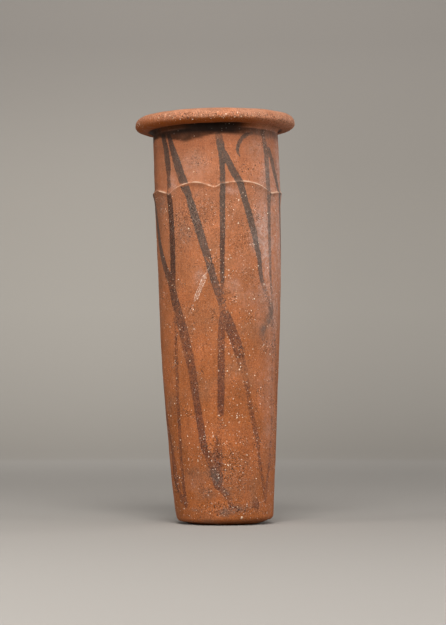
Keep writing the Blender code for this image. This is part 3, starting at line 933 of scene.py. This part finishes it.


# Clay colours from the foot up, as (share of the height, colour); the darker stop at 0.92, just
# under the lip, is painted shade
CLAY_COLOURS = (
    (0.0, (0.278, 0.083, 0.021)),
    (0.12, (0.289, 0.085, 0.021)),
    (0.35, (0.302, 0.094, 0.028)),
    (0.6, (0.330, 0.114, 0.044)),
    (0.8, (0.345, 0.128, 0.060)),
    (0.87, (0.345, 0.126, 0.058)),
    (0.92, (0.325, 0.112, 0.050)),
    (0.95, (0.345, 0.127, 0.060)),
    (1.0, (0.395, 0.182, 0.108)),
)
PAINT_COLOURS = (
    (0.0, (0.112, 0.034, 0.018)),
    (0.45, (0.098, 0.034, 0.020)),
    (0.60, (0.090, 0.055, 0.043)),
    (0.78, (0.082, 0.059, 0.047)),
    (0.9, (0.072, 0.054, 0.044)),
)
ORANGE = (0.44, 0.135, 0.048, 1)
DULL = (0.24, 0.115, 0.062, 1)
# A painted highlight along the ridge's crest
CREST_HIGHLIGHT = (0.55, 0.37, 0.26, 1)
STAIN = (0.19, 0.115, 0.085, 1)
# Pale bloom, and the painted sheen on the jar's right side
BLOOM_AND_SHEEN = (0.52, 0.285, 0.215, 1)
CHALK = (0.86, 0.74, 0.63, 1)
DUST = (0.60, 0.46, 0.37, 1)
SOOT = (0.055, 0.028, 0.020, 1)
# Darker clay, also used as painted shade under the crest and at the jar's left edge
DARK_CLAY_AND_SHADE = (0.16, 0.058, 0.026, 1)
# Painted shade on the lip's underside
UNDER_LIP_SHADE = (0.27, 0.066, 0.008, 1)
# The neck band's paint, near black because it also stands for the shade under the lip
BAND_PAINT_AND_SHADE = (0.008, 0.003, 0.001, 1)
RED_BROWN_PAINT = (0.042, 0.015, 0.009, 1)
VEIL = (0.30, 0.27, 0.25, 1)
GREY = (0.125, 0.086, 0.068)
HOLLOW_CLAY = (0.30, 0.115, 0.055)


class FiredClay(Nodes):
    """Fired clay with its mottling, specks and stains, under the worn paint. Each layer takes the
    colour under it and gives the colour with it."""

    def __init__(self):
        super().__init__("fired_clay_painted")
        level = self.level = self.height()
        self.fine = self.noise(2.0, 3, 0.7, shift=5)
        self.grain = self.noise(0.8, 2, 0.7, shift=8)
        self.streaks = self.noise(2.2, 3, 0.6, stretch=(1, 1, 9), shift=3)
        self.patches = self.noise(5.5, 3, 0.6, shift=71)
        self.broken = self.spread(self.noise(2.4, 4, 0.7, shift=41), 0.35, 0.65)
        clustered = self.spread(self.noise(13, 3, 0.6, shift=27), 0.48, 0.74)
        self.limy = self.math("MAXIMUM", clustered, self.field("limy"))
        pitted = self.math("MAXIMUM", clustered, self.field("pitted"))
        smoother_neck = self.spread(level, 0.80, 0.83, 1, 0.6)
        rough = self.times(self.spread(pitted, 0, 1, 0.34, 1.05), smoother_neck)
        lip_top = self.spread(level, 0.994, 0.985, 0.35, 1)
        on_lip = self.times(self.spread(level, 0.96, 0.975), lip_top)
        self.coarse = self.math("MAXIMUM", rough, self.times(on_lip, 0.7))
        self.pitted = self.math("MAXIMUM", pitted, self.times(on_lip, 0.32))
        self.light = self.shading()

    def shading(self):
        """How light the clay is at each point, from lumps, streaks and turning marks to grains."""
        grain = self.grain
        speckle = self.plus(
            self.spread(self.fine, 0.3, 0.7, -0.26, 0.26),
            self.spread(grain, 0.5, 0.33, 0, -0.95),
            self.spread(grain, 0.5, 0.68, 0, 0.8),
        )
        level_streaks = self.noise(1.5, 3, 0.6, stretch=(9, 9, 1), shift=43)
        turned = self.spread(level_streaks, 0.3, 0.7, -0.07, 0.07)
        light = self.plus(
            self.spread(self.noise(34, 3), 0.25, 0.75, -0.07, 0.07),
            1,
            self.spread(self.noise(7.5, 3, shift=11), 0.25, 0.75, -0.07, 0.07),
            self.spread(self.streaks, 0.3, 0.7, -0.06, 0.06),
            self.times(turned, self.spread(self.level, 0.8, 0.85)),
        )
        return self.math("MULTIPLY_ADD", speckle, self.coarse, light)

    def lit(self, colour):
        return self.scaled(colour[:3], self.light)

    def over(self, colour, name, left, above):
        """colour with the field called name over it, of which a share is left where it is broken."""
        amount = self.times(self.field(name), self.spread(self.broken, 0, 1, 1, left))
        return self.mixed(amount, colour, above)

    def bare(self):
        colour = self.ramp(self.level, *CLAY_COLOURS)
        rubbed = self.spread(self.noise(22, 3, 0.5, shift=21), 0.45, 0.7, 0, 0.4)
        colour = self.mixed(rubbed, colour, ORANGE)
        dull = self.spread(self.noise(16, 3, 0.55, shift=31), 0.45, 0.75, 0, 0.45)
        return self.scaled(self.mixed(dull, colour, DULL), self.light)

    def stained(self, colour):
        # Darker clay, with painted shade at the left edge
        colour = self.over(colour, "dark_place_and_shade", 0.5, DARK_CLAY_AND_SHADE)
        # Bloom, and on the right side a painted sheen
        bloom_and_sheen = self.times(self.field("bloom_and_sheen"), self.spread(self.broken, 0, 1, 0.3, 1))
        uneven = self.spread(self.noise(6, 3, 0.6, shift=73), 0.35, 0.65, 0.6, 1.15)
        self.bloom_and_sheen = self.times(bloom_and_sheen, uneven)
        colour = self.mixed(self.bloom_and_sheen, colour, self.lit(BLOOM_AND_SHEEN))
        return self.over(colour, "stain", 0.3, self.lit(STAIN))

    def ridge(self, colour):
        """The ridge's crest gets a painted highlight, painted shade lies just under it, and the
        lip's underside gets painted shade.
        """
        crest = self.field("below_crest")
        uneven = self.noise(5, 3, 0.6, shift=13)
        # Painted highlight along the crest
        self.crest_highlight = self.times(
            self.spread(crest, -1.2, -0.4),
            self.spread(crest, 0.5, 0),
            self.spread(uneven, 0.35, 0.6, 0.15, 0.8),
            self.spread(self.field("dark_place_and_shade"), 0, 1, 1, 0),
        )
        colour = self.mixed(self.crest_highlight, colour, CREST_HIGHLIGHT)
        # Painted shade just under the crest, in darker clay
        shade_under_crest = self.times(
            self.spread(crest, 0.2, 1.0),
            self.spread(crest, 3.6, 1.0),
            self.spread(uneven, 0.35, 0.7, 0.1, 0.55),
        )
        colour = self.mixed(shade_under_crest, colour, DARK_CLAY_AND_SHADE)
        # Painted shade on the lip's underside
        return self.mixed(self.field("under_lip_shade"), colour, UNDER_LIP_SHADE)

    def painted(self, colour):
        """Paint: ragged at its edges, thin in flecks, and thinner where its strength is less."""
        ragged = self.spread(self.noise(1.9, 4, 0.65, shift=51), 0.25, 0.75, -0.36, 0.36)
        covered = self.spread(self.plus(self.field("paint_depth"), ragged), -0.3, 0.3)
        strength = self.field("paint_strength")
        flecks = self.noise(1.3, 4, 0.75, shift=61)
        worn = self.plus(
            self.spread(flecks, 0.3, 0.7, -0.62, 0.45),
            self.spread(self.patches, 0.3, 0.7, -0.16, 0.16),
        )
        more_low_down = self.spread(self.level, 0.5, 0.65, 1.7, 1)
        worn = self.times(worn, self.spread(strength, 0.2, 1, 1, 0.32), more_low_down)
        paint = self.times(
            covered,
            self.math("ADD", strength, worn, clamp=True),
            self.spread(strength, 0, 0.3, 0, 0.96),
            self.spread(self.crest_highlight, 0.2, 0.8, 1, 0.45),
        )
        pigment = self.ramp(self.level, *PAINT_COLOURS)
        pigment = self.mixed(self.field("red_paint"), pigment, RED_BROWN_PAINT)
        return self.mixed(paint, colour, self.scaled(pigment, self.light))

    def dusty(self, colour):
        """A veil over the bloom and painted sheen, pale dust, the dark band under the lip with its
        painted shade, and grey dust.
        """
        colour = self.mixed(self.times(self.bloom_and_sheen, 0.36), colour, VEIL)
        dusting = self.noise(0.75, 2, 0.7, shift=37)
        pale_dust = self.times(self.spread(dusting, 0.54, 0.7, 0, 0.52), self.coarse)
        colour = self.mixed(pale_dust, colour, DUST)
        band = self.field("neck_band_and_shade")
        blotches = self.spread(self.patches, 0.3, 0.7, -0.12, 0.12)
        blotches = self.times(blotches, self.spread(band, 0.95, 0.6))
        smeared = self.math("ADD", band, blotches, clamp=True)
        smeared = self.times(smeared, self.spread(band, 0, 0.15))
        colour = self.mixed(smeared, colour, BAND_PAINT_AND_SHADE)
        return self.over(colour, "grey_dust", 0.45, self.lit(GREY))

    def scratched(self, colour):
        """A bundle of three scratches, chalky in places."""
        side = self.field("scratch_side")
        lines = self.times(self.spread(self.math("ABSOLUTE", side), 1.7, 1.1), 0.3)
        for place, strong in ((-1.4, 0.9), (0.1, 0.45), (1.2, 0.9)):
            away = self.math("ABSOLUTE", self.math("SUBTRACT", side, place))
            lines = self.math("MAXIMUM", lines, self.spread(away, 0.42, 0.1, 0, strong))
        chalky = self.spread(self.noise(0.9, 3, 0.75, shift=81), 0.44, 0.6, 0, 1)
        return self.mixed(self.times(lines, chalky), colour, CHALK)

    def specked(self, colour):
        pale_specks = self.times(
            self.specks(2.4, 0.5, 0.4, shift=91), 0.6,
            self.spread(self.level, 0.9, 0.6, 0.35, 1),
            self.spread(self.limy, 0, 0.8, 0.3, 1.2),
        )
        self.dark_specks = self.times(
            self.specks(2.2, 0.5, 0.5, shift=17), 0.75,
            self.spread(self.pitted, 0.1, 0.8, 0.1, 1),
            self.coarse,
        )
        colour = self.mixed(pale_specks, colour, CHALK)
        return self.mixed(self.dark_specks, colour, SOOT)

    def hollow(self, colour):
        return self.mixed(self.field("in_hollow"), colour, self.lit(HOLLOW_CLAY))

    def lumps(self):
        lumps = self.plus(self.times(self.fine, 0.22), self.times(self.grain, 0.12))
        lumps = self.plus(self.times(lumps, self.coarse), self.times(self.streaks, 0.06))
        return self.math("MULTIPLY_ADD", self.dark_specks, -0.2, lumps)


def clay_material():
    clay = FiredClay()
    colour = clay.bare()
    for layer in (clay.stained, clay.ridge, clay.painted, clay.dusty, clay.scratched, clay.specked,
                  clay.hollow):
        colour = layer(colour)
    clay.join(clay.shader.inputs["Base Color"], colour)
    rough = clay.spread(clay.noise(4, 3, 0.6, shift=23), 0.3, 0.7, 0.62, 0.8)
    clay.join(clay.shader.inputs["Roughness"], rough)
    clay.shader.inputs["Specular IOR Level"].default_value = 0.14
    clay.bumped(clay.lumps(), 1)
    return clay.material


def grit_material(name, dark_colour, light_colour):
    nodes = Nodes(name)
    shade = nodes.spread(nodes.noise(3.5, 2), 0.4, 0.6)
    nodes.join(nodes.shader.inputs["Base Color"], nodes.mixed(shade, dark_colour, light_colour))
    nodes.shader.inputs["Roughness"].default_value = 0.8
    nodes.bumped(nodes.noise(0.4, 2), 0.6)
    return nodes.material


# The studio: a round floor that curves up into a wall, all in metres
STAGE_FLAT = 1.5
STAGE_CURVE = 1.1
STAGE_WALL = 2.6
STAGE_SIDES = 96
STAGE_CURVE_RINGS = 12
# Painted shade on the paper: it is darker high up on the wall and where the floor curves up, as
# (height in metres, colour)
STAGE_TOP = 1.0
STAGE_COLOURS = (
    (0.0, (0.330, 0.315, 0.298)),
    (0.003, (0.308, 0.291, 0.270)),
    (0.01, (0.292, 0.276, 0.255)),
    (0.03, (0.293, 0.277, 0.255)),
    (0.09, (0.305, 0.289, 0.266)),
    (0.16, (0.314, 0.297, 0.273)),
    (0.25, (0.318, 0.301, 0.276)),
    (0.45, (0.288, 0.271, 0.248)),
    (0.8, (0.227, 0.213, 0.198)),
)
# Painted shade also darkens it towards the right, over this many millimetres to each side, and less
# so high up
STAGE_SHADE_REACH = 260
STAGE_MIDDLE_SHADE = 1.03
STAGE_SHADE_LEAN = 0.09
STAGE_TOP_LEAN = 0.01
# And painted shade darkens it towards the viewer and far behind the jar, as (share of the way,
# shade)
STAGE_NEAR = -600
STAGE_FAR = 1500
DEPTH_SHADES = ((0.0, 0.93), (0.28, 0.98), (0.5, 0.99), (0.7, 0.98), (1.0, 0.9))


def make_stage():
    section = [(0, 0), (0.3, 0), (1, 0), (STAGE_FLAT, 0)]
    for step in range(1, STAGE_CURVE_RINGS + 1):
        turn = math.pi / 2 * step / STAGE_CURVE_RINGS
        radius = STAGE_FLAT + STAGE_CURVE * math.sin(turn)
        section.append((radius, STAGE_CURVE * (1 - math.cos(turn))))
    section.append((STAGE_FLAT + STAGE_CURVE, STAGE_WALL))
    turns = [math.tau * side / STAGE_SIDES for side in range(STAGE_SIDES)]
    corners = [(radius * math.cos(turn), radius * math.sin(turn), height)
               for radius, height in section for turn in turns]
    faces = []
    for ring in range(len(section) - 1):
        here, beyond = ring * STAGE_SIDES, (ring + 1) * STAGE_SIDES
        for side in range(STAGE_SIDES):
            after = (side + 1) % STAGE_SIDES
            faces.append((here + side, beyond + side, beyond + after, here + after))
    mesh = bpy.data.meshes.new("studio_sweep")
    mesh.from_pydata(corners, [], faces)
    mesh.shade_smooth()
    sweep = new_object("studio_sweep", mesh)
    nodes = Nodes("studio_paper")
    height = nodes.math("DIVIDE", nodes.height(), STAGE_TOP / HEIGHT / MM)
    across, away, _ = nodes.add("ShaderNodeSeparateXYZ", {0: nodes.place}).outputs
    aside = nodes.spread(across, -STAGE_SHADE_REACH, STAGE_SHADE_REACH, 1, -1)
    lean = nodes.spread(height, 0.5, 0.8, STAGE_SHADE_LEAN, STAGE_TOP_LEAN)
    shade = nodes.math("MULTIPLY_ADD", aside, lean, STAGE_MIDDLE_SHADE)
    share = nodes.math("DIVIDE", nodes.math("SUBTRACT", away, STAGE_NEAR), STAGE_FAR - STAGE_NEAR)
    paper = nodes.scaled(nodes.ramp(height, *STAGE_COLOURS), shade)
    depth = nodes.ramp(share, *[(at, (grey,) * 3) for at, grey in DEPTH_SHADES])
    paper = nodes.mixed(1, paper, depth, "MULTIPLY")
    nodes.join(nodes.shader.inputs["Base Color"], paper)
    nodes.shader.inputs["Roughness"].default_value = 0.9
    nodes.shader.inputs["Specular IOR Level"].default_value = 0.1
    sweep.data.materials.append(nodes.material)


def soft_light(name, place, aim, width, height, watts, colour):
    light = bpy.data.lights.new(name, "AREA")
    light.shape = "RECTANGLE"
    light.size = width
    light.size_y = height
    light.energy = watts
    light.color = colour
    lamp = new_object(name, light)
    lamp.location = place
    lamp.rotation_euler = (Vector(aim) - Vector(place)).to_track_quat("-Z", "Y").to_euler()


def make_lights():
    soft_light("key", (0.0, -0.92, 1.25), (0, 0, 0.12), 0.8, 0.75, 22, (1.0, 0.97, 0.93))
    soft_light("front", (0.1, -1.6, 0.75), (0, 0, 0.1), 0.9, 0.4, 8, (1.0, 0.97, 0.94))
    soft_light("left_side", (-1.25, -0.7, 0.6), (0, 0, 0.06), 0.7, 0.7, 7.4, (1.0, 0.97, 0.93))
    soft_light("right_side", (1.25, -0.6, 0.75), (0, 0, 0.06), 0.7, 0.7, 6.0, (1.0, 0.97, 0.95))
    soft_light("right_rim", (1.1, 0.45, 0.32), (0, 0, 0.15), 0.3, 0.6, 4, (1.0, 0.97, 0.95))
    soft_light("backdrop_glow", (0.0, 1.5, 1.5), (0, 2.6, 0.35), 1.4, 0.4, 23, (1.0, 0.98, 0.95))
    world = bpy.data.worlds.new("studio_air")
    world.use_nodes = True
    background = world.node_tree.nodes["Background"]
    background.inputs["Color"].default_value = (1.0, 0.98, 0.95, 1)
    background.inputs["Strength"].default_value = 0.08
    bpy.context.scene.world = world


# Camera: in front of the jar and low, tipped up a little, with its place in metres
CAMERA_PLACE = (-0.00156, -1.420, 0.0852)
CAMERA_TIP = 0.045
SENSOR_HEIGHT = 36
LENS = 115.2


def make_camera():
    camera = bpy.data.cameras.new("camera")
    camera.sensor_fit = "VERTICAL"
    camera.sensor_height = SENSOR_HEIGHT
    camera.lens = LENS
    holder = new_object("camera", camera)
    holder.location = CAMERA_PLACE
    holder.rotation_euler = (math.pi / 2 + CAMERA_TIP, 0, 0)
    bpy.context.scene.camera = holder
    bpy.context.scene.view_settings.view_transform = "Standard"


def make_object():
    surface = Surface()
    jar = make_jar(surface)
    jar.data.materials.append(clay_material())
    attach(jar, "root")
    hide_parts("jar")
    chance = random.Random(GRIT_SEED)
    for name, kind in GRITS.items():
        places = [*kind["listed"], *grit_places(chance, kind)]
        grits = new_object(name, grits_on(jar, places, kind["proud"], chance))
        grits.data.materials.append(grit_material(name, *kind["colours"]))
        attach(grits, "root")


make_camera()
make_stage()
make_lights()
make_object()

bpy.context.view_layer.update()
